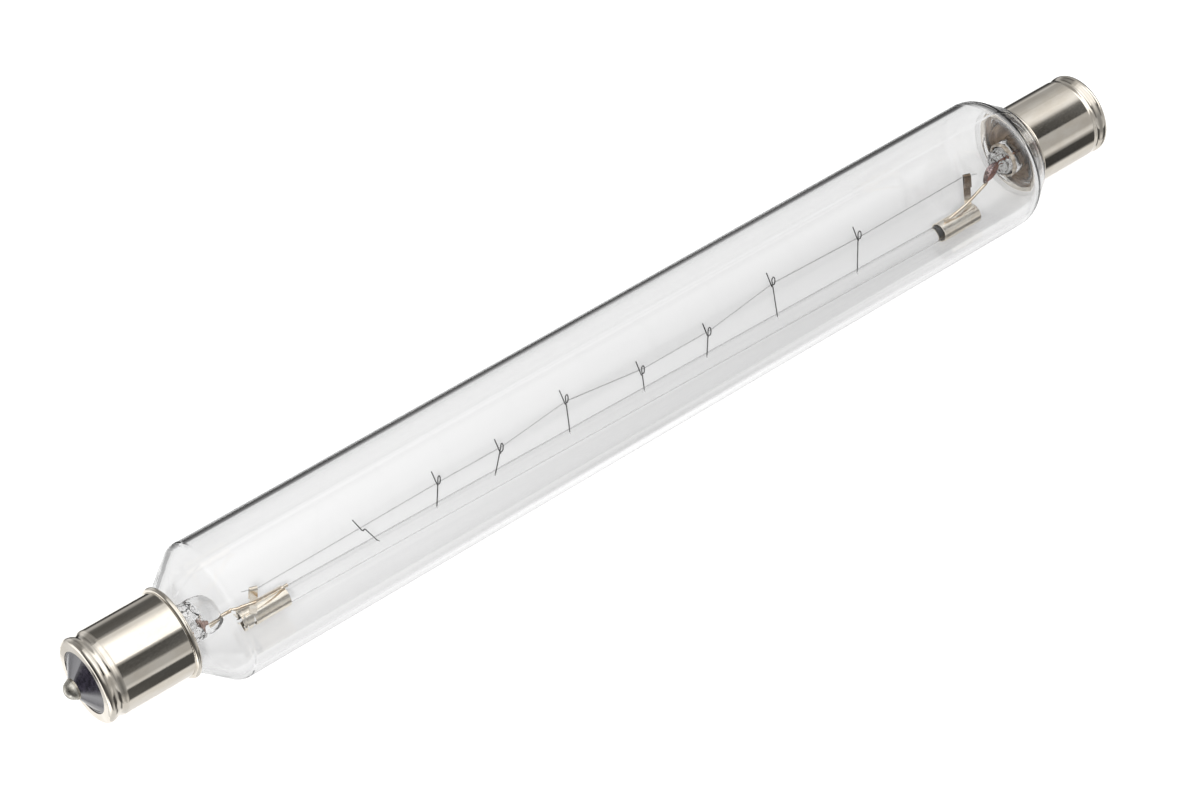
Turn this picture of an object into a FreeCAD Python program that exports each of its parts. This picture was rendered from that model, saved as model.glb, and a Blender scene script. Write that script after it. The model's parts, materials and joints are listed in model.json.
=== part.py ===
import FreeCAD, Part
import math
import os

from FreeCAD import Vector

# Double-ended tubular filament lamp.
# Millimetres. X is the lamp's axis, Z is up, and the origin is the middle of the lamp on its axis.
# A place near an end is written by its distance from the middle, then turned to the left end
# by half a turn about Z.

# Whole lamp
overall_length = 221.0
contact_height = 3.6

# Cap shell, drawn from sheet
cap_diameter = 14.8
cap_length = 16.8
cap_sheet = 0.35
bead_diameter = 14.9
bead_round = 0.85
groove_diameter = 14.2
groove_place = 2.35
groove_end = 3.5
rim_diameter = 16.1
rim_thickness = 0.95
rim_fillet = 0.15
opening_diameter = 11.0

# Glass insulator in the cap's end
insulator_depth = 2.6
insulator_recess = 0.12
insulator_land = 0.35
insulator_clearance = 0.04

# Contact: an eyelet with a dome of solder on it
eyelet_diameter = 3.7
eyelet_thickness = 0.3
eyelet_barrel = 1.6
eyelet_barrel_length = 1.9
eyelet_bore = 0.9
solder_diameter = 3.5
solder_height = 1.5

# Glass envelope
tube_diameter = 24.3
tube_wall = 0.95
cement_thickness = 0.75
neck_diameter = cap_diameter - 2 * (cap_sheet + cement_thickness)
neck_length = 8.0

# Shoulder corners, from the tube to the neck: (x from the rim, distance from the axis, rounding)
left_shoulder = (
    (-6.2, tube_diameter / 2, 2.8),
    (0.9, neck_diameter / 2, 1.1),
)
right_shoulder = (
    (-4.9, tube_diameter / 2, 4.5),
    (-0.15, 8.85, 0.8),
    (-0.15, neck_diameter / 2, 0.5),
)

# Basing cement between the neck and the cap shell
cement_start = 1.6
cement_clearance = 0.02

# Stem: a tube with a flare at the neck's end and a flattened press
stem_diameter = 6.4
stem_wall = 0.75
left_stem_reach = 8.6
right_stem_reach = 3.2
flare_radius = 1.6
press_length = 5.2
press_thickness = 4.4
press_sections = (
    (0.0, 1.0, 0.0),
    (0.35, 1.0, 0.5),
    (0.62, 0.98, 1.0),
    (0.85, 0.86, 1.0),
    (0.97, 0.6, 1.0),
    (1.0, 0.3, 1.0),
)
droplet_diameter = 2.2
exhaust_diameter = 2.6
exhaust_wall = 0.45
exhaust_length = 14.5
exhaust_tip = 2.0
exhaust_port = 1.0

# Lead wires. A point at a stem is (x, y, z), with x measured from the stem's tip to the cap;
# a point at a clip is measured from the clip's middle, with x to the lamp's end.
seal_wire_diameter = 0.45
inner_lead_diameter = 0.6
outer_lead_diameter = 0.35
left_seal_wire_points = ((6.4, -2.0, 0.0), (3.6, -2.0, 0.0))
right_seal_wire_points = ((6.4, -1.2, 0.6), (-1.6, -1.2, 0.6), (-4.0, -1.3, -2.5))
left_lead_straight = 4.2
right_lead_straight = 0.5
left_lead_at_clip = (3.1, -2.6, 5.9)
right_lead_at_clip = (1.8, -0.3, 3.85)
left_lead_end = -0.6
right_lead_end = 1.2
outer_lead_first_bend = 6.0
outer_lead_last_bend = 3.6
outer_lead_in_solder = 0.7
lead_bend_radius = 2.0
lead_landing = 1.2
lead_clearance = 0.02
bend_share = 0.45

# Support rod: it lies askew below the filament
rod_diameter = 2.9
rod_inset = 1.2

# Clips: a rolled sleeve on each end of the rod, and a tab that clamps the filament
clip_length = 8.45
clip_sheet = 0.2
clip_clearance = 0.25
clip_seam = 0.5
clip_seam_angle = 50.0
left_clip_inset = 37.75
right_clip_inset = 34.1
left_clip_gap = 1.33
right_clip_gap = 0.5
clip_aside = 1.2
left_tab_place = 1.5
right_tab_place = 0.65
tab_root_angle = 56.0
tab_width = 1.3
tab_twist = 20.0
tab_flap = 2.5
tab_gap = 0.45
notch_top = 1.4
notch_base = (-1.0, 0.5)
relief_width = 0.9
relief_length = 1.3

# Filament: the points where the hooks hold it, as (x, z). A clamp's x is from its clip's middle
filament_diameter = 0.25
filament_bend = 1.0
filament_tail = 2.0
filament_in_tab = 0.9
left_clamp_place = (-2.35, -0.65)
right_clamp_place = (2.67, 0.08)
hook_points = (
    (-54.3, -0.8),
    (-38.1, -0.6),
    (-24.85, -0.75),
    (-11.45, 1.25),
    (5.25, -1.55),
    (19.9, -1.55),
    (33.8, 1.1),
    (53.6, 0.3),
)

# Hooks: fine wire, one foot in the rod and a turn round the filament, which hangs in the
# turn's top (1) or lies in its bottom (-1)
hook_wire = 0.2
hook_foot_depth = 0.75
hook_foot_shift = (4.6, -0.2, -1.6, 1.0, 0.3, -0.9, 1.2, -0.6)
hook_seats = (-1, 1, -1, 1, 1, -1, -1)
hook_clearance = 0.08
hook_turn_radius = 0.72
hook_turn_yaw = 21.0
hook_turn_dip = 17.0
hook_turn_pitch = 0.35
hook_turn_start = -40.0
hook_turn_step = 45.0
hook_turn_steps = 8
hook_tail = 2.3
hook_tail_way = Vector(-0.1, 0.43, 0.9).normalize()

# First hook: a bent Z, its corners and tip measured from where it holds the filament
z_hook_corners = (Vector(0.55, -0.45, 0.4), Vector(1.1, 0.15, -1.85))
z_hook_tip = Vector(-0.7, 0.6, 2.0)
z_hook_bend = 0.28

# Places that follow from the sizes
cap_face = overall_length / 2 - contact_height
rim_face = cap_face - cap_length
neck_end = rim_face + neck_length
eyelet_seat = cap_face + contact_height - solder_height - eyelet_thickness
clip_inner_radius = rod_diameter / 2 + clip_clearance
clip_outer_radius = clip_inner_radius + clip_sheet
clip_floor = tube_wall + clip_outer_radius - tube_diameter / 2
left_clip_middle = Vector(left_clip_inset - overall_length / 2, clip_aside, clip_floor + left_clip_gap)
right_clip_middle = Vector(overall_length / 2 - right_clip_inset, -clip_aside, clip_floor + right_clip_gap)
left_clamp = Vector(left_clip_middle.x + left_clamp_place[0], 0, left_clamp_place[1])
right_clamp = Vector(right_clip_middle.x + right_clamp_place[0], 0, right_clamp_place[1])
rod_ahead = (right_clip_middle - left_clip_middle).normalize()
X = Vector(1, 0, 0)
Y = Vector(0, 1, 0)
Z = Vector(0, 0, 1)
tab_across = Vector(math.cos(math.radians(tab_twist)), -math.sin(math.radians(tab_twist)), 0)


# Drawing helpers. A lathe profile lies in the XZ plane: x along the lamp, z the radius.

def at(x, radius):
    return Vector(x, 0, radius)


def line(a, b):
    return Part.LineSegment(a, b).toShape()


def arc(a, middle, b):
    return Part.Arc(a, middle, b).toShape()


def round_corner(a, b, centre):
    """Quarter circle from a to b round the given centre."""
    radius = (a - centre).Length
    toward = ((a - centre) + (b - centre)).normalize()
    return arc(a, centre + toward * radius, b)


def ogee(a, b):
    """Two tangent arcs that join two levels of a profile, each level along X."""
    run, rise = b.x - a.x, b.z - a.z
    radius = (run * run + rise * rise) / (4 * abs(rise))
    side = math.copysign(1, rise)
    way = math.copysign(1, run)
    half = math.asin(abs(run) / 2 / radius) / 2
    across = way * radius * math.sin(half)
    down = side * radius * (1 - math.cos(half))
    middle = (a + b) * 0.5
    first = arc(a, at(a.x + across, a.z + down), middle)
    second = arc(middle, at(b.x - across, b.z - down), b)
    return [first, second]


def turn(edges):
    """Solid of revolution about the lamp's axis."""
    face = Part.Face(Part.Wire(Part.__sortEdges__(edges)))
    return face.revolve(Vector(0, 0, 0), X, 360)


def closed_line(points):
    return [line(a, b) for a, b in zip(points, points[1:] + points[:1])]


def to_left(shape):
    """The same piece at the other end: half a turn about Z."""
    turned = shape.copy()
    turned.rotate(Vector(0, 0, 0), Z, 180)
    return turned


def rounded_path(points, radii):
    """Straight runs through the points, joined by tangent arcs as large as the radii allow."""
    edges = []
    start = points[0]
    for before, corner, after, radius in zip(points, points[1:], points[2:], radii):
        back = (before - corner).normalize()
        ahead = (after - corner).normalize()
        half = back.getAngle(ahead) / 2
        reach = min(radius / math.tan(half), bend_share * (before - corner).Length,
                    bend_share * (after - corner).Length)
        bend = reach * math.tan(half)
        centre = corner + (back + ahead).normalize() * (bend / math.sin(half))
        middle = centre + (corner - centre).normalize() * bend
        edges.append(line(start, corner + back * reach))
        edges.append(arc(corner + back * reach, middle, corner + ahead * reach))
        start = corner + ahead * reach
    edges.append(line(start, points[-1]))
    return edges


def bent_wire(points, bend_radius, diameter):
    """Round wire through the points, with the same bend radius at each."""
    return wire_along(rounded_path(points, [bend_radius] * len(points)), diameter)


def wire_along(edges, diameter):
    """Round wire swept along a path of tangent edges."""
    path = Part.Wire(edges)
    first = edges[0]
    foot = first.valueAt(first.FirstParameter)
    ahead = first.tangentAt(first.FirstParameter)
    section = Part.Wire(Part.makeCircle(diameter / 2, foot, ahead))
    return path.makePipeShell([section], True, False)


# Cap shell

def sheet_profile(inset):
    """Cap wall from the opening to the rim's back, inset into the sheet by the given depth."""
    face = cap_face - inset
    bead = bead_diameter / 2 - inset
    corner = bead_round - inset
    groove = groove_diameter / 2 - inset
    body = cap_diameter / 2 - inset
    bead_top = at(face - corner, bead)
    groove_bottom = at(cap_face - groove_place, groove)
    body_start = at(cap_face - groove_end, body)
    flat = line(at(face, opening_diameter / 2), at(face, bead - corner))
    edge = round_corner(at(face, bead - corner), bead_top, at(face - corner, bead - corner))
    return [flat, edge] + ogee(bead_top, groove_bottom) + ogee(groove_bottom, body_start)


def make_cap_shell():
    body = cap_diameter / 2
    bore = body - cap_sheet
    rim = rim_diameter / 2
    half_rim = rim_thickness / 2
    opening = opening_diameter / 2
    back = rim_face + rim_thickness
    outer_end = at(back + rim_fillet, body)
    foot = at(back, body + rim_fillet)
    crest_back = at(back, rim - half_rim)
    crest_front = at(rim_face, rim - half_rim)
    mouth = at(rim_face, bore + rim_fillet)
    bore_start = at(rim_face + rim_fillet, bore)
    edges = sheet_profile(0) + sheet_profile(cap_sheet)
    edges += [
        line(at(cap_face, opening), at(cap_face - cap_sheet, opening)),
        line(at(cap_face - groove_end, body), outer_end),
        round_corner(outer_end, foot, at(back + rim_fillet, body + rim_fillet)),
        line(foot, crest_back),
        arc(crest_back, at(rim_face + half_rim, rim), crest_front),
        line(crest_front, mouth),
        round_corner(mouth, bore_start, at(rim_face + rim_fillet, bore + rim_fillet)),
        line(bore_start, at(cap_face - groove_end, bore)),
    ]
    return turn(edges)


# Insulator, eyelet and solder

def make_insulator():
    """Glass cone: it seats on the turned-in end of the shell and carries the eyelet."""
    seat = cap_face - cap_sheet
    body = groove_diameter / 2 - cap_sheet - insulator_clearance
    collar = opening_diameter / 2 - insulator_clearance
    bore = eyelet_barrel / 2
    step = eyelet_seat - eyelet_barrel_length
    wire_bore = eyelet_bore / 2
    back = seat - insulator_depth
    seat_edge = bead_diameter / 2 - bead_round - insulator_clearance
    return turn(closed_line([
        at(eyelet_seat, bore),
        at(eyelet_seat, eyelet_diameter / 2),
        at(cap_face - insulator_recess, collar - insulator_land),
        at(cap_face - insulator_recess, collar),
        at(seat, collar),
        at(seat, seat_edge),
        at(cap_face - groove_place, body),
        at(back, body),
        at(back, wire_bore),
        at(step, wire_bore),
        at(step, bore),
    ]))


def make_eyelet():
    barrel = eyelet_barrel / 2
    bore = eyelet_bore / 2
    return turn(closed_line([
        at(eyelet_seat - eyelet_barrel_length, bore),
        at(eyelet_seat + eyelet_thickness, bore),
        at(eyelet_seat + eyelet_thickness, eyelet_diameter / 2),
        at(eyelet_seat, eyelet_diameter / 2),
        at(eyelet_seat, barrel),
        at(eyelet_seat - eyelet_barrel_length, barrel),
    ]))


def make_solder():
    """Dome of solder on the eyelet, with the lead's end held in it."""
    base = eyelet_seat + eyelet_thickness
    radius = solder_diameter / 2
    tip = base + solder_height
    ball = (radius * radius + solder_height * solder_height) / (2 * solder_height)
    slope = math.asin(min(1, radius / ball)) / 2
    middle = at(tip - ball * (1 - math.cos(slope)), ball * math.sin(slope))
    dome = turn([
        line(at(base, 0), at(base, radius)),
        arc(at(base, radius), middle, at(tip, 0)),
        line(at(tip, 0), at(base, 0)),
    ])
    bore = Part.makeCylinder(outer_lead_diameter / 2, outer_lead_in_solder, at(base, 0), X)
    return dome.cut(bore)


# Glass envelope and cement

def inset_line(corners, inset):
    """Corners of a profile line moved to the axis's side by the given depth."""
    ways = [(b - a).normalize() for a, b in zip(corners, corners[1:])]
    sides = [at(way.z, -way.x) for way in ways]
    moved = [corners[0] + sides[0] * inset]
    for corner, before, after in zip(corners[1:], sides, sides[1:]):
        moved.append(corner + (before + after) * (inset / (1 + before.dot(after))))
    moved.append(corners[-1] + sides[-1] * inset)
    return moved


def inset_radii(corners, radii, inset):
    """Rounding of each moved corner: less where the wall turns to the axis, else more."""
    ways = [b - a for a, b in zip(corners, corners[1:])]
    signs = [math.copysign(1, a.x * b.z - a.z * b.x) for a, b in zip(ways, ways[1:])]
    return [radius + sign * inset for radius, sign in zip(radii, signs)]


def make_half_envelope(shoulder):
    """Blown wall from the middle of the tube to the end of the neck."""
    corners = [at(0, tube_diameter / 2)]
    corners += [at(rim_face + x, radius) for x, radius, rounding in shoulder]
    corners.append(at(neck_end, neck_diameter / 2))
    radii = [rounding for x, radius, rounding in shoulder]
    inner_corners = inset_line(corners, tube_wall)
    inner_radii = inset_radii(corners, radii, tube_wall)
    return turn(rounded_path(corners, radii) + rounded_path(inner_corners, inner_radii) + [
        line(corners[0], inner_corners[0]),
        line(corners[-1], inner_corners[-1]),
    ])


def make_envelope():
    left = to_left(make_half_envelope(left_shoulder))
    return make_half_envelope(right_shoulder).fuse(left).removeSplitter()


def make_cement():
    """Ring that fills the space between the neck and the cap shell."""
    inner = neck_diameter / 2 + cement_clearance
    outer = cap_diameter / 2 - cap_sheet - cement_clearance
    start = rim_face + cement_start
    return turn(closed_line([
        at(start, inner), at(start, outer), at(neck_end, outer), at(neck_end, inner),
    ]))


# Stem

def oval(x, across, high):
    """Ring of the press: an oval across Y by high in Z."""
    if across == high:
        return Part.Wire(Part.makeCircle(across / 2, Vector(x, 0, 0), X))
    curve = Part.Ellipse(Vector(x, across / 2, 0), Vector(x, 0, high / 2), Vector(x, 0, 0))
    return Part.Wire(curve.toShape())


def make_press(reach):
    """Solid glass, squeezed flat round the wire and rounded at its tip."""
    press_root = rim_face - reach + press_length
    rings = []
    for share, size, flatness in press_sections:
        thickness = stem_diameter + (press_thickness - stem_diameter) * flatness
        rings.append(oval(press_root - share * press_length, size * stem_diameter, size * thickness))
    return Part.makeLoft(rings, True, False)


def make_droplet(wire_points):
    """Drop of glass that follows the seal wire out of the press, rounded at its end."""
    way = (wire_points[-1] - wire_points[-2]).normalize()
    end = wire_points[-1] - way * (droplet_diameter / 2)
    rod = bent_wire(wire_points[:-1] + [end], lead_bend_radius, droplet_diameter)
    return rod.fuse(Part.makeSphere(droplet_diameter / 2, end))


def make_exhaust(reach):
    """Pumping tube on the axis, sealed to a tip inside the cap."""
    root = rim_face - reach + press_length
    outer = exhaust_diameter / 2
    bore = outer - exhaust_wall
    end = root + exhaust_length
    taper = end - exhaust_tip
    return turn(closed_line([
        at(root - exhaust_wall, 0), at(root - exhaust_wall, outer), at(taper, outer),
        at(end, bore / 2), at(end, 0), at(taper, bore), at(root, bore), at(root, 0),
    ]))


def make_stem_tube(reach):
    """Tube from the press to the flare, which is sealed to the neck's end."""
    root = rim_face - reach + press_length
    radius = stem_diameter / 2
    bore = radius - stem_wall
    neck = neck_diameter / 2
    flare_start = neck_end - flare_radius
    back = neck_end + stem_wall
    crest = radius + flare_radius
    centre = at(flare_start, crest)
    return turn([
        line(at(root, bore), at(root, radius)),
        line(at(root, radius), at(flare_start, radius)),
        round_corner(at(flare_start, radius), at(neck_end, crest), centre),
        line(at(neck_end, crest), at(neck_end, neck)),
        line(at(neck_end, neck), at(back, neck)),
        line(at(back, neck), at(back, crest)),
        round_corner(at(back, crest), at(flare_start, bore), centre),
        line(at(flare_start, bore), at(root, bore)),
    ])


def make_stem(side, reach, with_exhaust):
    """Tube, press and pumping tube in one, before the wires are sealed in."""
    stem = make_stem_tube(reach).fuse(make_press(reach))
    if with_exhaust:
        start = at(rim_face - reach - exhaust_wall, 0)
        port = Part.makeCylinder(exhaust_port / 2, press_length + 2 * exhaust_wall, start, X)
        stem = stem.fuse(make_exhaust(reach)).cut(port)
    return stem if side > 0 else stem.mirror(Vector(0, 0, 0), X)


# Lead wires

def at_stem(side, reach, points):
    """Points given from a stem's tip, in the lamp's own frame."""
    tip = rim_face - reach
    return [Vector(side * (tip + x), y, z) for x, y, z in points]


def make_outer_lead(side, start):
    """Thin wire from the seal wire's back, through the eyelet and into the solder."""
    tip = eyelet_seat + eyelet_thickness + outer_lead_in_solder
    points = [
        start,
        Vector(side * (cap_face - outer_lead_first_bend), start.y, start.z),
        Vector(side * (cap_face - outer_lead_last_bend), 0, 0),
        Vector(side * tip, 0, 0),
    ]
    return bent_wire(points, lead_bend_radius, outer_lead_diameter)


def make_inner_lead(side, seal_points, straight, clip_point, end_inset, clip_middle):
    """Stiff wire from the seal wire's end to the top of the sleeve, welded there at its end."""
    start = seal_points[-1]
    ahead = (start - seal_points[-2]).normalize()
    height = clip_outer_radius + inner_lead_diameter / 2 + lead_clearance
    inner_end = clip_middle - X * (side * (clip_length / 2 - end_inset))
    weld = inner_end + Z * height
    x, y, z = clip_point
    points = [
        start,
        start + ahead * straight,
        clip_middle + Vector(side * x, y, z),
        weld + X * (side * lead_landing),
        weld,
    ]
    return bent_wire(points, lead_bend_radius, inner_lead_diameter)


# Support rod, clips and hooks

def rod_point(x):
    """Point of the rod's axis at a place along the lamp."""
    return left_clip_middle + rod_ahead * ((x - left_clip_middle.x) / rod_ahead.x)


def make_rod():
    reach = clip_length / 2 - rod_inset
    start = left_clip_middle - rod_ahead * reach
    end = right_clip_middle + rod_ahead * reach
    return Part.makeCylinder(rod_diameter / 2, (end - start).Length, start, rod_ahead)


def make_clip(tab_place, clamp):
    """Left clip about its own middle: X to the lamp's middle, the tab's fold at the clamp."""
    half = clip_length / 2
    start = Vector(-half, 0, 0)
    bore = Part.makeCylinder(clip_inner_radius, clip_length, start, X)
    sleeve = Part.makeCylinder(clip_outer_radius, clip_length, start, X).cut(bore)
    sleeve = sleeve.cut(make_seam_gap()).cut(make_notch(tab_place - half))
    return sleeve.fuse(make_tab(tab_place - half, clamp).cut(bore)).removeSplitter()


def make_seam_gap():
    """Gap where the rolled sheet's edges meet, wider at the inner end."""
    half = clip_length / 2
    gap = Part.makeBox(clip_length, clip_outer_radius, clip_seam, Vector(-half, 0, -clip_seam / 2))
    relief = Part.makeBox(relief_length, clip_outer_radius, relief_width,
                          Vector(half - relief_length, 0, -clip_seam / 2))
    gap = gap.fuse(relief)
    gap.rotate(Vector(0, 0, 0), X, -clip_seam_angle)
    return gap


def make_notch(middle):
    """V cut in the sleeve's side below the tab, where the tab's strip was lifted out."""
    points = [
        Vector(middle, 0, notch_top),
        Vector(middle + notch_base[0], 0, -clip_outer_radius),
        Vector(middle + notch_base[1], 0, -clip_outer_radius),
    ]
    face = Part.Face(Part.Wire(closed_line(points)))
    return face.extrude(Y * -clip_outer_radius)


def make_tab(middle, clamp):
    """Strip that rises from the sleeve, and folds over the filament at the clamp."""
    root = math.radians(tab_root_angle)
    foot = Vector(middle, -math.cos(root) * clip_outer_radius, math.sin(root) * clip_inner_radius)
    near = tab_gap / 2
    far = near + clip_sheet
    aside = Z.cross(tab_across) * ((near + far) / 2)
    up = (clamp - foot - aside).normalize()
    back = up.cross(tab_across).normalize()
    length = (clamp - foot - aside).Length
    corner = clamp - tab_across * (tab_width / 2)

    def p(behind, above):
        return corner + back * behind + up * above

    edges = [
        line(p(-far, -length), p(-far, 0)),
        arc(p(-far, 0), p(0, far), p(far, 0)),
        line(p(far, 0), p(far, -tab_flap)),
        line(p(far, -tab_flap), p(near, -tab_flap)),
        line(p(near, -tab_flap), p(near, 0)),
        arc(p(near, 0), p(0, near), p(-near, 0)),
        line(p(-near, 0), p(-near, -length)),
        line(p(-near, -length), p(-far, -length)),
    ]
    return Part.Face(Part.Wire(edges)).extrude(tab_across * tab_width)


def make_left_clip():
    clip = make_clip(left_tab_place, left_clamp - left_clip_middle)
    clip.translate(left_clip_middle)
    return clip


def make_right_clip():
    clamp = right_clamp - right_clip_middle
    clip = to_left(make_clip(right_tab_place, Vector(-clamp.x, -clamp.y, clamp.z)))
    clip.translate(right_clip_middle)
    return clip


# Filament and hooks

def filament_point(place):
    return Vector(place[0], 0, place[1])


def hook_turn_axes():
    """Axis of the hooks' turn, with the turn's own upward and sideways directions."""
    yaw, dip = math.radians(hook_turn_yaw), math.radians(hook_turn_dip)
    axis = Vector(math.cos(dip) * math.cos(yaw), -math.cos(dip) * math.sin(yaw), -math.sin(dip))
    up = (Z - axis * Z.dot(axis)).normalize()
    return axis, up, axis.cross(up)


def make_hook(place, foot_shift, seat):
    """Pigtail: up from the rod, one turn round the filament, and a free tail."""
    axis, up, aside = hook_turn_axes()
    inside = hook_turn_radius - hook_wire / 2
    centre = filament_point(place) - up * (seat * (inside - filament_diameter / 2 - hook_clearance))

    def on_turn(step):
        a = math.radians(hook_turn_start + step * hook_turn_step)
        round_axis = up * math.sin(a) - aside * math.cos(a)
        drift = hook_turn_pitch * step * hook_turn_step / 360
        return centre + round_axis * hook_turn_radius - axis * drift

    turn_points = [on_turn(step) for step in range(hook_turn_steps)]
    root = rod_point(place[0] + foot_shift)
    rise = (turn_points[0] - root).normalize()
    foot = root + rise * (rod_diameter / 2 - hook_foot_depth)
    curve = Part.BSplineCurve()
    curve.interpolate(Points=turn_points, InitialTangent=rise, FinalTangent=hook_tail_way)
    tail_end = turn_points[-1] + hook_tail_way * hook_tail
    edges = [line(foot, turn_points[0]), curve.toShape(), line(turn_points[-1], tail_end)]
    return wire_along(edges, hook_wire)


def make_z_hook(place, foot_shift):
    """Hook bent to a Z, with the filament held between its last two limbs."""
    node = filament_point(place)
    corners = [node + corner for corner in z_hook_corners]
    root = rod_point(node.x + foot_shift)
    up = (corners[0] - root).normalize()
    foot = root + up * (rod_diameter / 2 - hook_foot_depth)
    return bent_wire([foot] + corners + [node + z_hook_tip], z_hook_bend, hook_wire)


def make_hooks():
    hooks = [make_z_hook(hook_points[0], hook_foot_shift[0])]
    for place, foot_shift, seat in zip(hook_points[1:], hook_foot_shift[1:], hook_seats):
        hooks.append(make_hook(place, foot_shift, seat))
    return hooks


def make_filament():
    """Coil strung from clip to clip through the hooks, as its outer cylinder."""
    inside = tab_across * filament_in_tab
    tail = tab_across * filament_tail
    points = [left_clamp - tail, left_clamp + inside]
    points += [filament_point(place) for place in hook_points]
    points += [right_clamp - inside, right_clamp + tail]
    return bent_wire(points, filament_bend, filament_diameter)


def make_cap_pieces():
    """Pieces of the right cap, the same at both ends."""
    return {
        "cap_shell": make_cap_shell(),
        "insulator": make_insulator(),
        "eyelet": make_eyelet(),
        "solder": make_solder(),
        "cement": make_cement(),
    }


def make_feedthrough(side, reach, wire_points, straight, clip_point, end_inset, clip_middle):
    """Stem with the three wires that pass through it, the inner one led to the clip."""
    seal_points = at_stem(side, reach, wire_points)
    seal_wire = bent_wire(seal_points, lead_bend_radius, seal_wire_diameter)
    inner_lead = make_inner_lead(side, seal_points, straight, clip_point, end_inset,
                                 clip_middle)
    stem = make_stem(side, reach, side < 0)
    if len(seal_points) > 2:
        stem = stem.fuse(make_droplet(seal_points))
    return {
        "stem": stem.cut(seal_wire).cut(inner_lead).removeSplitter(),
        "seal_wire": seal_wire,
        "inner_lead": inner_lead,
        "outer_lead": make_outer_lead(side, seal_points[0]),
    }


def make_mount():
    """Rod, clips, hooks and filament."""
    hooks = make_hooks()
    rod = make_rod()
    for hook in hooks:
        rod = rod.cut(hook)
    mount = {
        "support_rod": rod,
        "filament": make_filament(),
        "left_clip": make_left_clip(),
        "right_clip": make_right_clip(),
    }
    for number, hook in enumerate(hooks, 1):
        mount["hook_%d" % number] = hook
    return mount


def make_parts():
    """Every piece of the lamp in its place, by name."""
    parts = {"glass_envelope": make_envelope()}
    parts.update(make_mount())
    for name, shape in make_cap_pieces().items():
        parts["right_" + name] = shape
        parts["left_" + name] = to_left(shape)
    left = make_feedthrough(-1, left_stem_reach, left_seal_wire_points, left_lead_straight,
                            left_lead_at_clip, left_lead_end, left_clip_middle)
    right = make_feedthrough(1, right_stem_reach, right_seal_wire_points, right_lead_straight,
                             right_lead_at_clip, right_lead_end, right_clip_middle)
    for name in left:
        parts["left_" + name] = left[name]
        parts["right_" + name] = right[name]
    return parts


def main():
    os.makedirs("parts", exist_ok=True)
    for name, shape in make_parts().items():
        solid = shape.Solids[0]
        if len(shape.Solids) != 1 or not solid.isValid():
            print("check", name, len(shape.Solids), "solids")
        solid.exportStep("parts/%s.step" % name)


main()
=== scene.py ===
# Double-ended tubular bulb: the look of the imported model, in metres, in the model's own frame.
# Z is up, and the lamp lies along X on a pale floor.
import json
import math

import bmesh
import bpy
from mathutils import Matrix, Vector
from mathutils import noise as waves


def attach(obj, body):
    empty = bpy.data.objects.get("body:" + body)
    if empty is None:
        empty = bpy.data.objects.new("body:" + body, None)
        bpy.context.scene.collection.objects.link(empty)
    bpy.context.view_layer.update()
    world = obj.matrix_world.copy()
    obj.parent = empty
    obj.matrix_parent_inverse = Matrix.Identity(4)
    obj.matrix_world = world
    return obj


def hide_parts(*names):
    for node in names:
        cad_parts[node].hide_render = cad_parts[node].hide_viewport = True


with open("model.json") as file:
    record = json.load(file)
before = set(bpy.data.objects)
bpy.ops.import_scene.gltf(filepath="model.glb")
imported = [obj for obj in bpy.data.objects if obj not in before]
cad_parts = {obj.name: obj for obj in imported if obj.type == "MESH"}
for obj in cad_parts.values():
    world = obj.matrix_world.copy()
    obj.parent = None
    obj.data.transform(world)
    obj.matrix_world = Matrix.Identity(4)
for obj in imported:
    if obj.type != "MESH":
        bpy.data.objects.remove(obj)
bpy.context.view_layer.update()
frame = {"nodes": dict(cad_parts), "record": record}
nodes = frame["nodes"]

MM = 0.001

# Cements: the skin that takes up the air between them and the neck, and the reach of its weld
cement_skin = 0.04 * MM
weld = 0.001 * MM

# Camera: the photograph's angle and lens
azimuth = math.radians(-39.084)
elevation = math.radians(45.137)
distance = 627.807 * MM
aim = Vector((-4.143 * MM, 0, 0))
aim_up = -2.162 * MM
lens = 112.94
sensor = 36.0

# Floor: the lamp's glass rests on it. Metal and glass show only the strip under the lamp. Its own
# glow adds to the light on it: one level where it is seen straight, one in metal, one in glass
floor_height = -12.17 * MM
floor_reach = 2.0
strip_front = -4.5 * MM
strip_back = 34 * MM
strip_reach = 0.112
floor_colour = (0.62, 0.62, 0.62, 1)
floor_glow = 0.62
floor_glow_in_metal = 0.47
floor_glow_in_glass = 0.27

# Lamps, each with its place, size and power: a wide one over the left end, and a small one by
# the camera, which casts the filament's shadow close behind it. Even light fills the room
lamps = (
    ("overhead", (-0.3, -0.25, 0.9), 0.8, 4.4),
    ("front", (-0.578, -0.749, 0.892), 0.09, 8.5),
)
room_light = 0.48

# Share of the light that each face of the glass lets down to the floor, from left to right. Its
# fall toward the right is painted shade: the floor's shadow under the tube darkens there
clear_shade = (0.955, 0.91)
shade_reach = 85

# Painted shade at the limb of the rod, where it darkens: by how far its face is turned away, as
# Layer Weight says it
limb_blend = 0.5
limb_start = 0.45
limb_end = 0.7

# Where along their range noises start and end their blend
noise_start = 0.35
noise_end = 0.65

# Detail of the noise in metal, in surfaces that aren't metal, and in glass
metal_detail = 3.0
plain_detail = 6.0
glass_detail = 1.0

# Sockets of the Mix node by the kind of value: the share, what it blends, and the result
mix_sockets = {"FLOAT": (0, 2, 3, 0), "RGBA": (0, 6, 7, 2)}

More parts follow.
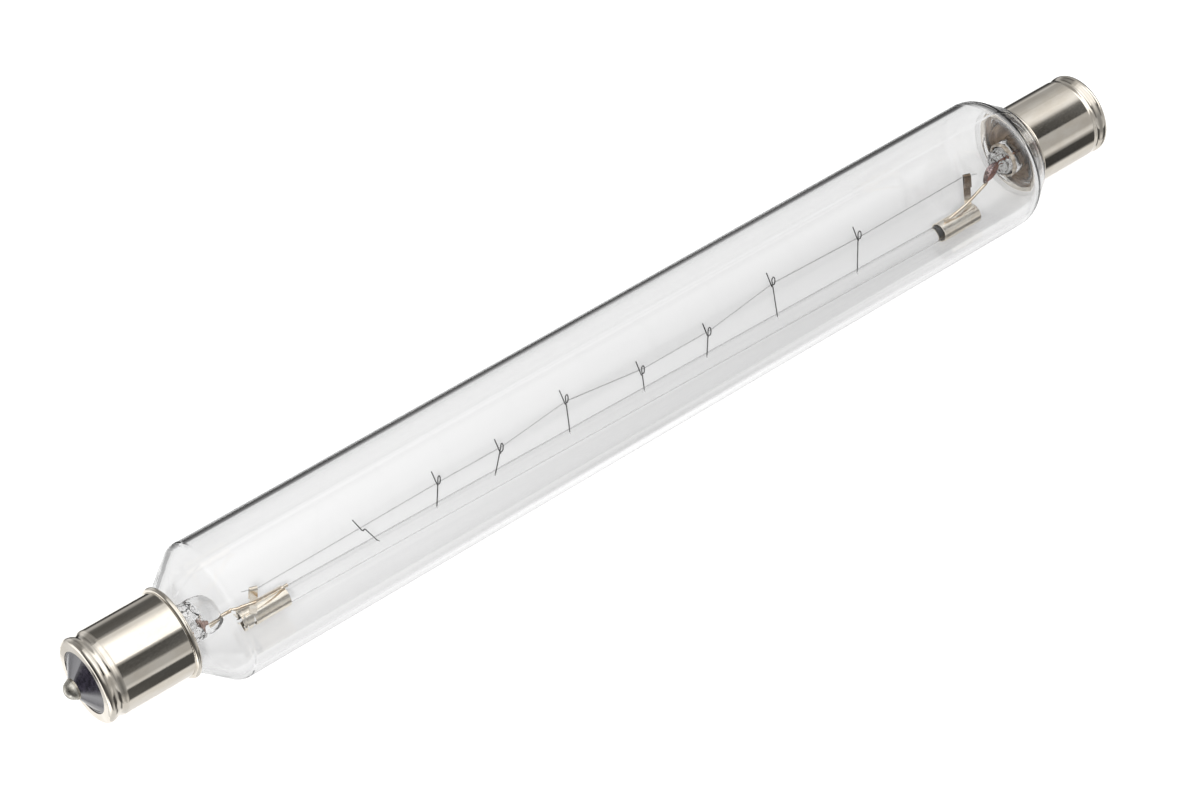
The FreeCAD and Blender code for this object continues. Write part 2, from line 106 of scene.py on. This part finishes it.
# What the studio shows in metal and glass. Each row is for the directions with that X part:
# (angle, brightness) round X from the front (0) over the top (90) to the back (180)
studio = (
    (-0.96, ((-180, 0.06), (180, 0.06))),
    (-0.88, ((-180, 0.1), (-143, 0.3), (-57, 0.3), (-50, 0.1), (20, 0.15), (60, 0.4), (180, 0.1))),
    (-0.76, (
        (-180, 0.6), (-174, 2.3), (-150, 2.4), (-57, 2.4), (-50, 0.1), (20, 0.15), (40, 0.6),
        (120, 0.6), (135, 0.15), (180, 0.6),
    )),
    (-0.44, (
        (-180, 0.4), (-168, 0.4), (-162, 1.1), (-143, 1.0), (-57, 1.0), (-50, 0.1), (20, 0.3),
        (40, 1.2), (60, 2.2), (110, 2.0), (135, 0.3), (180, 0.4),
    )),
    (0.05, (
        (-180, 1.0), (-168, 1.0), (-161, 0.5), (-147, 0.5), (-142, 1.0), (-40, 1.0),
        (-25, 0.4), (20, 0.4), (48, 0.6), (60, 1.3), (110, 1.3), (135, 0.4), (165, 0.4),
        (180, 1.0),
    )),
    (0.32, (
        (-180, 0.5), (-171, 0.65), (-164, 0.08), (-148, 0.08), (-142, 1.1), (-56, 1.1),
        (-50, 0.1), (-19, 0.1), (-16, 0.9), (-12, 0.9), (-6, 0.6), (12, 0.64), (18, 0.17),
        (30, 0.1), (45, 0.1), (51, 0.65), (54, 2.0), (100, 2.1), (110, 1.5), (119, 1.05),
        (131, 0.8), (137, 0.16), (160, 0.12), (171, 0.14), (180, 0.5),
    )),
    (0.45, (
        (-180, 0.5), (-166, 0.65), (-161, 0.05), (-148, 0.05), (-144, 1.2), (-110, 1.25),
        (-104, 1.35), (-86, 1.35), (-83, 1.1), (-76, 0.08), (-18, 0.1), (-12, 0.8), (-4, 0.7),
        (10, 0.55), (40, 0.55), (46, 0.06), (60, 0.06), (66, 0.6), (75, 1.0), (105, 1.0),
        (130, 0.7), (145, 0.45), (170, 0.4), (180, 0.5),
    )),
    (0.56, (
        (-180, 0.8), (-171, 0.3), (-164, 0.08), (-148, 0.08), (-142, 1.1), (-58, 1.05),
        (-50, 0.2), (-46, 0.05), (-20, 0.06), (-12, 0.55), (-6, 1.0), (2, 0.9), (8, 0.62),
        (41, 0.6), (45, 0.05), (68, 0.06), (77, 0.17), (82, 0.55), (88, 1.05), (98, 1.25),
        (110, 1.1), (128, 0.86), (145, 0.64), (160, 0.52), (171, 0.52), (180, 0.8),
    )),
    (0.82, (
        (-180, 0.3), (-165, 0.12), (-122, 0.12), (-112, 1.1), (-60, 1.0), (0, 0.5), (25, 0.6),
        (35, 1.8), (60, 2.4), (110, 2.4), (130, 0.5), (180, 0.3),
    )),
)
studio_top = 2.5
studio_level = 0.8

# Straight through glass, a white room shows instead of the studio. A ray that was also mirrored
# shows only a share of that white, for directions to the front and for those up from just below
# the horizon: the parts of the direction at which each share sets in and is whole
white_in_glass = 0.93
mirrored_share = 0.12
white_front = (0.02, 0.2)
white_up = (-0.2, -0.12)

# Materials by kind: dark and light colour or a glass's tint, the range of roughness, and the sizes
# of blobs, grain, waves and relief in mm. Some glasses and sheets are others with a change
clear = dict(tint=(0.995, 0.995, 0.995), shade=clear_shade, wave=(40, 6, 6), relief=0.01)
glasses = {
    "clear_glass": clear,
    "rod_glass": dict(clear, edge=0.35),
    "ragged_glass": dict(clear, wave=(0.5, 0.5, 0.5), relief=0.06, index=1.7),
    "brown_glass": dict(
        tint=(0.72, 0.55, 0.56), shade=(0.7, 0.7), wave=(0.6, 0.4, 0.4), relief=0.12
    ),
}
plains = {
    "black_glass": dict(
        dark=(0.01, 0.009, 0.014), light=(0.03, 0.026, 0.04), rough=(0.1, 0.2),
        blob=(0.6, 0.6, 0.6), relief=0.004, index=2.1,
    ),
    "cloudy_glass": dict(
        dark=(0.22, 0.17, 0.12), light=(0.66, 0.6, 0.52), rough=(0.08, 0.25),
        blob=(1.2, 0.8, 0.8), relief=0.12,
    ),
    "frost": dict(
        dark=(0.25, 0.24, 0.22), light=(1.0, 1.0, 1.0), rough=(0.1, 0.3),
        blob=(0.5, 0.5, 0.5), relief=0.05,
    ),
    "cement": dict(
        dark=(0.12, 0.07, 0.035), light=(0.56, 0.43, 0.32), rough=(0.6, 0.9),
        blob=(3, 3, 3), relief=0.1,
    ),
    "oxide": dict(
        dark=(0.12, 0.07, 0.05), light=(0.42, 0.29, 0.25), rough=(0.2, 0.4),
        blob=(0.8, 0.8, 0.8), relief=0.05,
    ),
}
sheet = dict(
    dark=(0.86, 0.78, 0.66), light=(0.97, 0.92, 0.83), rough=(0.14, 0.26),
    blob=(2, 1, 1), grain=(0.6, 0.12, 0.12), relief=0.004,
)
metals = {
    "nickel_sheet": sheet,
    # The right clip's sheet, with a painted dark reflection on its upper part
    "burnt_sheet": dict(sheet, burnt=((-6.2, -4.6), (0.2, 0.15, 0.11))),
    "nickel_plate": dict(
        dark=(0.75, 0.69, 0.60), light=(0.82, 0.77, 0.69), rough=(0.03, 0.1),
        blob=(4, 2, 2), grain=(0.5, 0.15, 0.15), relief=0.0015,
    ),
    "solder": dict(
        dark=(0.4, 0.38, 0.33), light=(0.66, 0.64, 0.58), rough=(0.22, 0.5),
        blob=(0.8, 0.8, 0.8), grain=(0.35, 0.35, 0.35), relief=0.02,
    ),
    "brass_plate": dict(dark=(0.4, 0.37, 0.31), light=(0.62, 0.58, 0.5), rough=(0.25, 0.4)),
    "nickel_wire": dict(dark=(0.86, 0.7, 0.52), light=(0.97, 0.9, 0.78), rough=(0.05, 0.15)),
    "copper_wire": dict(dark=(0.6, 0.3, 0.2), light=(0.8, 0.45, 0.3), rough=(0.2, 0.35)),
    "dumet_wire": dict(dark=(0.28, 0.12, 0.08), light=(0.55, 0.33, 0.24), rough=(0.25, 0.45)),
    "tungsten_coil": dict(dark=(0.3, 0.3, 0.3), light=(0.45, 0.45, 0.45), rough=(0.3, 0.5)),
    "hook_wire": dict(dark=(0.1, 0.1, 0.1), light=(0.2, 0.2, 0.2), rough=(0.35, 0.55)),
}

# Filament: the coil's outer diameter is the solid's that it replaces
coil_diameter = 0.2 * MM
coil_wire = 0.04 * MM
coil_pitch = 0.13 * MM
coil_steps = 10
coil_sides = 4
coil_bend = 1.0 * MM

# Turn, in radians, that is too small to be rounded
straight = 1e-3

# Filament's route, in mm: the points of its solid, from clamp to clamp through the hooks
filament_route = (
    (-76.98, 0.68, -0.65), (-74.25, -0.31, -0.65),
    (-54.3, 0, -0.8), (-38.1, 0, -0.6), (-24.85, 0, -0.75), (-11.45, 0, 1.25),
    (5.25, 0, -1.55), (19.9, 0, -1.55), (33.8, 0, 1.1), (53.6, 0, 0.3),
    (78.22, 0.31, 0.08), (80.95, -0.68, 0.08),
)

# Stems. A row is a place on a profile turned round the axis, in mm: the distance from the lamp's
# middle, the distance from the axis, and how rough the glass is there
stem_turns = 72
stem_rounds = 3
stem_ripple = 0.75 * MM
stem_flare = (
    (95.5, 3.2, 0), (97.4, 3.4, 0), (98.1, 4.4, 0), (98.1, 6.28, 0), (98.85, 6.28, 0),
    (98.85, 4.4, 0), (97.6, 2.6, 0), (95, 2.45, 0),
)
left_dome = (
    (82.1, 0, 0.02), (82.1, 1.1, 0.03), (82.5, 2.2, 0.05), (83.5, 3.1, 0.06), (85.0, 3.4, 0.1),
    (87.5, 3.35, 0.15),
)
left_bore = (
    (89, 2.45, 0.1), (86.4, 2.4, 0.4), (85.6, 1.9, 0.5), (85.9, 1.35, 0.4), (88, 1.3, 0),
    (99.2, 1.3, 0), (101.2, 0.45, 0), (101.2, 0, 0),
)
pumping_bore = (
    (85.4, 0, 0.3), (85.4, 0.7, 0.3), (86.3, 0.85, 0.2), (99.0, 0.85, 0), (100.7, 0.2, 0),
    (100.7, 0, 0),
)
right_bead = (
    (85.1, 0, 0.4), (85.1, 1.2, 0.45), (85.6, 2.1, 0.45), (86.9, 2.3, 0.35), (87.4, 2.4, 0.1),
    (87.4, 2.9, 0.03), (88.2, 3.1, 0.02), (90, 3.2, 0.02),
)
frost_disc = ((87.6, 0, 0.1), (87.6, 2.15, 0.1), (87.8, 2.15, 0.1), (87.8, 0, 0.1))
right_bore = (
    (90.6, 2.45, 0.02), (88.8, 2.2, 0.03), (88.2, 1.3, 0.04), (88.2, 0, 0.04),
)
collar = (
    (87.0, 2.85, 0.2), (87.0, 3.05, 0.2), (87.2, 3.15, 0.2), (87.7, 3.2, 0.15),
    (87.7, 3.1, 0.15), (87.3, 2.95, 0.15),
)

# Where the right stem's ragged end gives way to its smooth tube
core_end = 87.2 * MM

# Lean of the right stem's end: its place at the tip, and where along the stem it sets in
right_lean = Vector((0, -0.55, -0.4))
lean_start = 96.0
lean_end = 88.0

# Lip that the left stem's glass draws out along its wire: (y, z), height and width
lip_place = (-2.0 * MM, -1.3 * MM)
lip_height = 0.6 * MM
lip_width = 0.75 * MM
lip_end = 85 * MM

# Beads on the wires: the points of a bent line, and the radii along it, in mm. A drop of brown
# glass hangs on the wire out of the right stem; oxide thickens the wire in the left stem
drop_line = ((85.2, -1.2, 0.4), (84.0, -1.3, 0.1), (82.3, -1.3, -2.4))
drop_radii = (0.5, 0.7, 0.8, 0.9, 0.95, 0.95, 0.85, 0.6, 0.3)
oxide_line = ((-86.6, -1.7, 0.2), (-86.0, -1.5, 0.5), (-85.1, -1.7, 0.3))
oxide_radii = (0.2, 0.9, 1.0, 0.6, 0.3, 0.25)
bead_steps = 40
bead_sides = 24


def make_tree(name):
    material = bpy.data.materials.new(name)
    material.use_nodes = True
    material.node_tree.nodes.clear()
    return material, material.node_tree


def put(tree, socket, value):
    """Links a socket to an input, or sets the input to a plain value."""
    if isinstance(value, bpy.types.NodeSocket):
        tree.links.new(value, socket)
    else:
        socket.default_value = value


def add(tree, kind, **inputs):
    """A node of that kind, with its inputs put in by name."""
    node = tree.nodes.new(kind)
    for name, value in inputs.items():
        put(tree, node.inputs[name.replace("_", " ")], value)
    return node


def mixed(tree, share, low, high, kind="FLOAT"):
    """What lies from low to high by the share. Each may be a socket or a plain value."""
    node = tree.nodes.new("ShaderNodeMix")
    node.data_type = kind
    *places, result = mix_sockets[kind]
    for place, value in zip(places, (share, low, high)):
        put(tree, node.inputs[place], value)
    return node.outputs[result]


def calculate(tree, operation, first, second):
    node = tree.nodes.new("ShaderNodeMath")
    node.operation = operation
    put(tree, node.inputs[0], first)
    put(tree, node.inputs[1], second)
    return node.outputs[0]


def object_place(tree, stretch=(1, 1, 1)):
    """The point of the object, in millimetres, divided by the stretch along each axis."""
    coordinates = add(tree, "ShaderNodeTexCoord")
    scale = [1 / (MM * s) for s in stretch]
    mapping = add(
        tree, "ShaderNodeMapping", Vector=coordinates.outputs["Object"], Scale=scale
    )
    return mapping.outputs["Vector"]


def noise(tree, stretch, detail):
    """Noise from 0 to 1, its blobs about as long along each axis as the stretch, in mm."""
    place = object_place(tree, stretch)
    node = add(tree, "ShaderNodeTexNoise", Vector=place, Scale=1.0, Detail=detail)
    return node.outputs["Fac"]


def spread(tree, factor, low, high, start=noise_start, end=noise_end):
    """The factor's range from start to end, spread from low to high."""
    node = add(
        tree, "ShaderNodeMapRange",
        Value=factor, From_Min=start, From_Max=end, To_Min=low, To_Max=high,
    )
    return node.outputs["Result"]


def blend_colours(tree, factor, dark, light):
    ramp = add(tree, "ShaderNodeValToRGB", Fac=factor)
    first, last = ramp.color_ramp.elements
    first.position, last.position = noise_start, noise_end
    first.color, last.color = (*dark, 1), (*light, 1)
    return ramp.outputs["Color"]


def bump(tree, height, depth):
    """Normal that shows a height from 0 to 1 as so many millimetres of relief."""
    node = add(tree, "ShaderNodeBump", Height=height, Strength=1.0, Distance=depth * MM)
    return node.outputs["Normal"]


def with_painted_dark(tree, colour, heights, brown):
    """The colour with a painted dark reflection, which sets in from the first height to the
    second, in mm.
    """
    parts = add(tree, "ShaderNodeSeparateXYZ", Vector=object_place(tree))
    share = spread(tree, parts.outputs["Z"], 0.0, 1.0, *heights)
    return mixed(tree, share, colour, (*brown, 1), "RGBA")


def metal(
    name, dark, light, rough, blob=(1.5, 1.5, 1.5), grain=(0.2, 0.2, 0.2), relief=0.002, burnt=None
):
    """Metal whose colour varies in blobs, and whose polish and height vary in a fine grain.
    The last argument gives the heights between which a painted dark reflection sets in, and
    its colour."""
    material, tree = make_tree(name)
    colour = blend_colours(tree, noise(tree, blob, metal_detail), dark, light)
    # Painted dark reflection: the colour darkens on the upper part, above the given height
    if burnt:
        colour = with_painted_dark(tree, colour, *burnt)
    grains = noise(tree, grain, metal_detail)
    shader = add(
        tree,
        "ShaderNodeBsdfPrincipled",
        Base_Color=colour,
        Roughness=spread(tree, grains, *rough),
        Metallic=1.0,
        Normal=bump(tree, grains, relief),
    )
    add(tree, "ShaderNodeOutputMaterial", Surface=shader.outputs["BSDF"])
    return material


def plain(name, dark, light, rough, blob, relief, index=1.5):
    """Surface that isn't metal: its colour varies in blobs, which stand up by the relief."""
    material, tree = make_tree(name)
    blobs = noise(tree, blob, plain_detail)
    shader = add(
        tree,
        "ShaderNodeBsdfPrincipled",
        Base_Color=blend_colours(tree, blobs, dark, light),
        Roughness=spread(tree, blobs, *rough),
        IOR=index,
        Normal=bump(tree, blobs, relief),
    )
    add(tree, "ShaderNodeOutputMaterial", Surface=shader.outputs["BSDF"])
    return material


def glass(name, tint, shade, wave, relief, index=1.5, edge=None):
    """Clear glass with slow waves in its surface. Light for the floor goes straight through and
    keeps the shade's share, which changes along the lamp: painted shade where it falls toward the
    right. The last argument, if given, is the colour of a painted shade at the limbs."""
    material, tree = make_tree(name)
    colour = (*tint, 1)
    # Painted shade at the rod's limbs: the colour darkens where the face turns away
    if edge:
        facing = add(tree, "ShaderNodeLayerWeight", Blend=limb_blend)
        colour = spread(tree, facing.outputs["Facing"], tint[0], edge, limb_start, limb_end)
    shader = add(
        tree,
        "ShaderNodeBsdfPrincipled",
        Base_Color=colour,
        Roughness=0.0,
        IOR=index,
        Transmission_Weight=1.0,
        Normal=bump(tree, noise(tree, wave, glass_detail), relief),
    )
    # Painted shade: each face lets less light down toward the right, darkening the floor's shadow
    # there
    parts = add(tree, "ShaderNodeSeparateXYZ", Vector=object_place(tree))
    level = spread(tree, parts.outputs["X"], *shade, -shade_reach, shade_reach)
    through = add(tree, "ShaderNodeBsdfTransparent", Color=level)
    path = add(tree, "ShaderNodeLightPath")
    from_floor = calculate(
        tree, "MAXIMUM", path.outputs["Is Shadow Ray"], path.outputs["Is Diffuse Ray"]
    )
    mix = add(tree, "ShaderNodeMixShader", Fac=from_floor)
    tree.links.new(shader.outputs["BSDF"], mix.inputs[1])
    tree.links.new(through.outputs["BSDF"], mix.inputs[2])
    add(tree, "ShaderNodeOutputMaterial", Surface=mix.outputs["Shader"])
    return material


def make_materials():
    kinds = ((glass, glasses), (plain, plains), (metal, metals))
    return {name: make(name, **look) for make, looks in kinds for name, look in looks.items()}


def dress_nodes(materials):
    slots = {part["node"]: part["material_slot"] for part in frame["record"]["subparts"]}
    for name, node in nodes.items():
        node.data.materials.clear()
        node.data.materials.append(materials[slots[name]])
    nodes["support_rod"].data.materials[0] = materials["rod_glass"]
    # The right clip has a painted dark reflection on its upper part
    nodes["right_clip"].data.materials[0] = materials["burnt_sheet"]


def declare(piece, node):
    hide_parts(node)
    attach(piece, "root")


def into_scene(name, data):
    piece = bpy.data.objects.new(name, data)
    bpy.context.scene.collection.objects.link(piece)
    return piece


def smooth_piece(name, mesh, material):
    mesh.polygons.foreach_set("use_smooth", [True] * len(mesh.polygons))
    mesh.materials.append(material)
    mesh.update()
    return into_scene(name, mesh)


def make_mesh(name, points, faces, material):
    mesh = bpy.data.meshes.new(name)
    mesh.from_pydata(points, [], faces)
    return smooth_piece(name, mesh, material)


def swell(name):
    """Copy of a node, a little thicker, so that glass round it shows it and no film of air."""
    copy = nodes[name].data.copy()
    mesh = bmesh.new()
    mesh.from_mesh(copy)
    bmesh.ops.remove_doubles(mesh, verts=mesh.verts, dist=weld)
    mesh.to_mesh(copy)
    mesh.free()
    piece = into_scene(name + "_in_glass", copy)
    skin = piece.modifiers.new("skin", "DISPLACE")
    skin.strength = cement_skin
    skin.mid_level = 0.0
    declare(piece, name)


def cut_corners(points, rounds):
    """Line through the points with its corners cut off again and again, a quarter of the way
    along each run, and its ends kept."""
    for _ in range(rounds):
        cut = [points[0]]
        for start, end in zip(points, points[1:]):
            cut += [start.lerp(end, 0.25), start.lerp(end, 0.75)]
        points = cut + [points[-1]]
    return points


def turn_profile(mesh, profile, side, lean=Vector(), hollow=False):
    """Adds the profile turned round the axis, rough where its rows say so. It starts and ends
    on the axis, or else it is a closed ring."""
    rows = [Vector(row) for row in profile]
    ring_shaped = rows[0].y > 0
    line = cut_corners(rows + rows[:1] if ring_shaped else rows, stem_rounds)
    rings = []
    for along, radius, rough in line:
        share = min(1, max(0, (lean_start - along) / (lean_start - lean_end)))
        ring = []
        for k in range(1 if radius == 0 else stem_turns):
            angle = 2 * math.pi * k / stem_turns
            place = Vector((side * along, radius * math.cos(angle), radius * math.sin(angle)))
            place = (place + lean * share) * MM
            # Without a seed, this noise is shifted by the clock: its pattern differs each run
            place += waves.noise_vector(place / stem_ripple) * rough * MM
            ring.append(mesh.verts.new(place))
        rings.append(ring)
    faces = []
    if ring_shaped:
        rings[-1] = rings[0]
    for before, after in zip(rings, rings[1:]):
        for k in range(stem_turns):
            m = (k + 1) % stem_turns
            if len(before) == 1:
                corners = (before[0], after[k], after[m])
            elif len(after) == 1:
                corners = (before[k], after[0], before[m])
            else:
                corners = (before[k], after[k], after[m], before[m])
            faces.append(mesh.faces.new(corners))
    bmesh.ops.recalc_face_normals(mesh, faces=faces)
    if hollow:
        bmesh.ops.reverse_faces(mesh, faces=faces)


def draw_lip(mesh):
    """Pushes the left dome out along its wire."""
    for vert in mesh.verts:
        y, z = vert.co.y - lip_place[0], vert.co.z - lip_place[1]
        if -vert.co.x < lip_end:
            vert.co.x += lip_height * math.exp(-(y * y + z * z) / (2 * lip_width ** 2))


def stem_piece(name, mesh, stem, material):
    data = bpy.data.meshes.new(name)
    mesh.to_mesh(data)
    mesh.free()
    piece = smooth_piece(name, data, material)
    declare(piece, stem)
    return piece


def make_left_stem(materials):
    """Stem with a blown end, drawn out along its wire."""
    mesh = bmesh.new()
    turn_profile(mesh, left_dome + stem_flare + left_bore, -1)
    turn_profile(mesh, pumping_bore, -1, hollow=True)
    draw_lip(mesh)
    stem_piece("left_stem_glass", mesh, "left_stem", materials["clear_glass"])


def right_stem_piece(name, profile, material):
    mesh = bmesh.new()
    turn_profile(mesh, profile, 1, right_lean)
    return stem_piece(name, mesh, "right_stem", material)


def make_right_stem(materials):
    """Stem that leans, its end a ragged bead with a pale core and a pale collar."""
    outline = right_bead + stem_flare + right_bore
    piece = right_stem_piece("right_stem_glass", outline, materials["ragged_glass"])
    piece.data.materials.append(materials["clear_glass"])
    for polygon in piece.data.polygons:
        polygon.material_index = int(polygon.center.x > core_end)
    right_stem_piece("right_stem_frost", frost_disc, materials["frost"])
    right_stem_piece("right_stem_collar", collar, materials["cloudy_glass"])


def radius_along(radii, share):
    """Radius at that share of the length, between the radii given at even steps."""
    place = share * (len(radii) - 1)
    row = min(int(place), len(radii) - 2)
    return (radii[row] + (radii[row + 1] - radii[row]) * (place - row)) * MM


def square_to(ahead, side):
    """The side turned square to the way ahead, and the direction square to both."""
    side = (side - ahead * side.dot(ahead)).normalized()
    return side, ahead.cross(side)


def tube_faces(rings, sides):
    """Faces of a tube through its rings of points, closed at both ends."""
    faces = []
    for i in range(rings - 1):
        for k in range(sides):
            a, b = i * sides + k, i * sides + (k + 1) % sides
            faces.append((a, b, b + sides, a + sides))
    faces.append(tuple(range(sides - 1, -1, -1)))
    faces.append(tuple(range((rings - 1) * sides, rings * sides)))
    return faces


def make_bead(name, route, radii, material):
    """Round piece of changing thickness along a line that bends once."""
    first, bend, last = (Vector(p) * MM for p in route)
    points = []
    side = Vector((0, 1, 0))
    for i in range(bead_steps + 1):
        share = i / bead_steps
        way = first.lerp(bend, share), bend.lerp(last, share)
        side, other = square_to((way[1] - way[0]).normalized(), side)
        middle = way[0].lerp(way[1], share)
        radius = radius_along(radii, share)
        for k in range(bead_sides):
            angle = 2 * math.pi * k / bead_sides
            points.append(middle + (side * math.cos(angle) + other * math.sin(angle)) * radius)
    return make_mesh(name, points, tube_faces(bead_steps + 1, bead_sides), material)


def make_beads(materials):
    drop = make_bead("right_stem_drop", drop_line, drop_radii, materials["brown_glass"])
    declare(drop, "right_stem")
    oxide = make_bead("left_seal_bead", oxide_line, oxide_radii, materials["oxide"])
    declare(oxide, "left_seal_wire")


def corner_arc(before, corner, after, bend, step):
    """Points of the arc that rounds a corner, from one run to the next."""
    back, ahead = (before - corner).normalized(), (after - corner).normalized()
    half = back.angle(ahead) / 2
    cut = bend / math.tan(half)
    centre = corner + (back + ahead).normalized() * (bend / math.sin(half))
    start, end = corner + back * cut - centre, corner + ahead * cut - centre
    turn = start.angle(end)
    if turn < straight:
        return [corner]
    count = max(2, math.ceil(turn * bend / step))
    axis = start.cross(end)
    return [
        centre + Matrix.Rotation(turn * i / count, 3, axis) @ start for i in range(count + 1)
    ]


def filament_line(step):
    """Points of the coil's middle line, a step apart: its solid's route, from clip to clip."""
    route = [Vector(p) * MM for p in filament_route]
    corners = [route[0]]
    for before, corner, after in zip(route, route[1:], route[2:]):
        corners += corner_arc(before, corner, after, coil_bend, step)
    corners.append(route[-1])
    line = [corners[0]]
    for point in corners[1:]:
        run = point - line[-1]
        count = int(run.length / step)
        start = line[-1]
        line += [start + run.normalized() * step * (i + 1) for i in range(count)]
    return line


def make_coil(material):
    """Fine coil in place of the filament's solid."""
    line = filament_line(coil_pitch / coil_steps)
    radius = (coil_diameter - coil_wire) / 2
    side = Vector((0, 1, 0))
    points = []
    for i, middle in enumerate(line[1:-1], 1):
        ahead = (line[i + 1] - line[i - 1]).normalized()
        side, other = square_to(ahead, side)
        turn = 2 * math.pi * i / coil_steps
        out = side * math.cos(turn) + other * math.sin(turn)
        along = (other * math.cos(turn) - side * math.sin(turn)) * 2 * math.pi * radius
        across = (along + ahead * coil_pitch).normalized().cross(out)
        for k in range(coil_sides):
            angle = 2 * math.pi * k / coil_sides
            spoke = out * math.cos(angle) + across * math.sin(angle)
            points.append(middle + out * radius + spoke * coil_wire / 2)
    faces = tube_faces(len(points) // coil_sides, coil_sides)
    coil = make_mesh("filament_coil", points, faces, material)
    declare(coil, "filament")


def rectangle(name, x0, x1, y0, y1, material):
    corners = [(x0, y0), (x1, y0), (x1, y1), (x0, y1)]
    floor = make_mesh(name, [(x, y, floor_height) for x, y in corners], [(0, 1, 2, 3)], material)
    return floor


def floor_material():
    """Pale floor that keeps shadows. Where it is seen, it also glows, straight to about white."""
    material, tree = make_tree("floor")
    paper = add(tree, "ShaderNodeBsdfDiffuse", Color=floor_colour)
    path = add(tree, "ShaderNodeLightPath")
    seen = calculate(tree, "MULTIPLY", path.outputs["Is Camera Ray"], floor_glow)
    in_metal = calculate(tree, "MULTIPLY", path.outputs["Is Glossy Ray"], floor_glow_in_metal)
    shown = calculate(tree, "MAXIMUM", seen, in_metal)
    level = mixed(tree, path.outputs["Is Transmission Ray"], shown, floor_glow_in_glass)
    glow = add(tree, "ShaderNodeEmission", Strength=level)
    both = add(tree, "ShaderNodeAddShader")
    tree.links.new(paper.outputs["BSDF"], both.inputs[0])
    tree.links.new(glow.outputs["Emission"], both.inputs[1])
    add(tree, "ShaderNodeOutputMaterial", Surface=both.outputs["Shader"])
    return material


def make_floor():
    material = floor_material()
    far = floor_reach
    rectangle("floor_strip", -strip_reach, strip_reach, strip_front, strip_back, material)
    around = [
        rectangle("floor_front", -far, far, -far, strip_front, material),
        rectangle("floor_back", -far, far, strip_back, far, material),
        rectangle("floor_left", -far, -strip_reach, strip_front, strip_back, material),
        rectangle("floor_right", strip_reach, far, strip_front, strip_back, material),
    ]
    for floor in around:
        floor.visible_glossy = False
        floor.visible_transmission = False


def studio_row(tree, angle, stops):
    """Brightness by the angle round X, in degrees, as straight runs between the stops."""
    place = spread(tree, angle, 0.0, 1.0, -math.pi, math.pi)
    row = add(tree, "ShaderNodeFloatCurve", Value=place)
    curve = row.mapping.curves[0]
    for i, (degrees, level) in enumerate(stops):
        x, y = (degrees + 180) / 360, level / studio_top
        point = curve.points[i] if i < 2 else curve.points.new(x, y)
        point.location = (x, y)
        point.handle_type = "VECTOR"
    row.mapping.update()
    return row.outputs["Value"]


def studio_light(tree, parts, front):
    """Brightness of the studio in a direction: its rows, each blended into the next by X."""
    angle = calculate(tree, "ARCTAN2", parts.outputs["Z"], front)
    light = studio_row(tree, angle, studio[0][1])
    for (before, _), (after, stops) in zip(studio, studio[1:]):
        share = spread(tree, parts.outputs["X"], 0.0, 1.0, before, after)
        light = mixed(tree, share, light, studio_row(tree, angle, stops))
    return calculate(tree, "MULTIPLY", light, studio_top * studio_level)


def make_world():
    """White to the camera, even light for matt surfaces, a white room through glass, and the
    studio's panels in reflections."""
    world = bpy.data.worlds.new("studio")
    bpy.context.scene.world = world
    world.use_nodes = True
    tree = world.node_tree
    tree.nodes.clear()
    coordinates = add(tree, "ShaderNodeTexCoord")
    parts = add(tree, "ShaderNodeSeparateXYZ", Vector=coordinates.outputs["Generated"])
    front = calculate(tree, "MULTIPLY", parts.outputs["Y"], -1.0)
    ahead = spread(tree, front, 0.0, mirrored_share, *white_front)
    above = spread(tree, parts.outputs["Z"], 0.0, mirrored_share, *white_up)
    path = add(tree, "ShaderNodeLightPath")
    mirrored = calculate(tree, "MINIMUM", path.outputs["Glossy Depth"], 1.0)
    white = mixed(tree, mirrored, 1.0, calculate(tree, "MAXIMUM", ahead, above))
    in_glass = calculate(tree, "MULTIPLY", path.outputs["Is Transmission Ray"], white)
    shown = mixed(tree, in_glass, studio_light(tree, parts, front), white_in_glass)
    matt = mixed(tree, path.outputs["Is Diffuse Ray"], shown, room_light)
    seen = mixed(tree, path.outputs["Is Camera Ray"], matt, 1.0)
    background = add(tree, "ShaderNodeBackground", Color=(1, 1, 1, 1), Strength=seen)
    add(tree, "ShaderNodeOutputWorld", Surface=background.outputs["Background"])


def make_lamp(name, place, size, power):
    data = bpy.data.lights.new(name, "AREA")
    data.shape = "SQUARE"
    data.size = size
    data.energy = power
    lamp = into_scene(name, data)
    lamp.location = place
    lamp.rotation_mode = "QUATERNION"
    lamp.rotation_quaternion = (-Vector(place)).to_track_quat("-Z", "Y")
    lamp.visible_glossy = False
    lamp.visible_transmission = False


def make_camera():
    back = Vector((
        math.sin(azimuth) * math.cos(elevation),
        -math.cos(azimuth) * math.cos(elevation),
        math.sin(elevation),
    ))
    right = Vector((math.cos(azimuth), math.sin(azimuth), 0))
    up = back.cross(right)
    data = bpy.data.cameras.new("camera")
    data.lens = lens
    data.sensor_width = sensor
    camera = into_scene("camera", data)
    turned = Matrix((right, up, back)).transposed().to_4x4()
    turned.translation = aim + up * aim_up + back * distance
    camera.matrix_world = turned
    bpy.context.scene.camera = camera


make_camera()
bpy.context.scene.view_settings.view_transform = "Standard"
make_world()
for name, place, size, power in lamps:
    make_lamp(name, place, size, power)
make_floor()
materials = make_materials()
dress_nodes(materials)
swell("left_cement")
swell("right_cement")
make_left_stem(materials)
make_right_stem(materials)
make_beads(materials)
make_coil(materials["tungsten_coil"])
